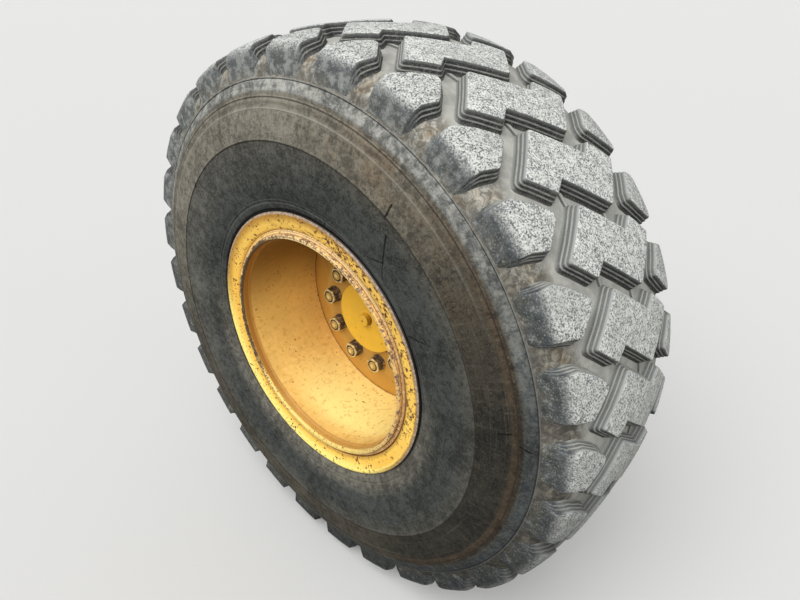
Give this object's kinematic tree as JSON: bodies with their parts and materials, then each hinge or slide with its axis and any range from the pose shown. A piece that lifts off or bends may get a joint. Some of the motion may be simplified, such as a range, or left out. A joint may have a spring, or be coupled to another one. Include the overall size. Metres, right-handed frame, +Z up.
{
  "type": "grader wheel on its stub axle",
  "caption": "Front wheel of a motor grader: lugged tyre on a three-piece rim with bolted disc and hub, turning freely on a flanged stub axle.",
  "frame": {"origin": "centre of the stub axle's mounting face, on the wheel's axis", "axes": "+Y along the wheel's axis into the machine, so the wheel's outer face looks toward -Y; +Z up; +X to the right as the outer face is seen"},
  "size_m": [1.4694, 0.5562, 1.4694],
  "materials": {
    "tyre": "matte, dusty",
    "rim_paint": "worn yellow-orange paint",
    "cap_paint": "yellow paint",
    "worn_ring": "chipped paint over rust",
    "valve_brass": "dull",
    "black_plastic": "matte",
    "seal_rubber": "matte",
    "stud_steel": "paint worn from steel",
    "nut_steel": "rusted"
  },
  "bodies": {
    "axle": {"stub_axle": "rim_paint"},
    "wheel": {"tyre": "tyre", "rim_base": "rim_paint", "side_ring": "rim_paint", "lock_ring": "worn_ring", "wheel_disc": "rim_paint", "valve_stem": "valve_brass", "valve_cap": "black_plastic", "hub": "rim_paint", "hub_cap": "cap_paint", "cap_plug": "cap_paint", "hub_seal": "seal_rubber", "wheel_studs": "stud_steel", "wheel_nuts": "nut_steel"}
  },
  "joints": [
    {"name": "wheel_spin", "type": "hinge", "parent": "axle", "child": "wheel", "pos_m": [0, -0.28, 0], "axis": [0, 1, 0], "continuous": true}
  ]
}
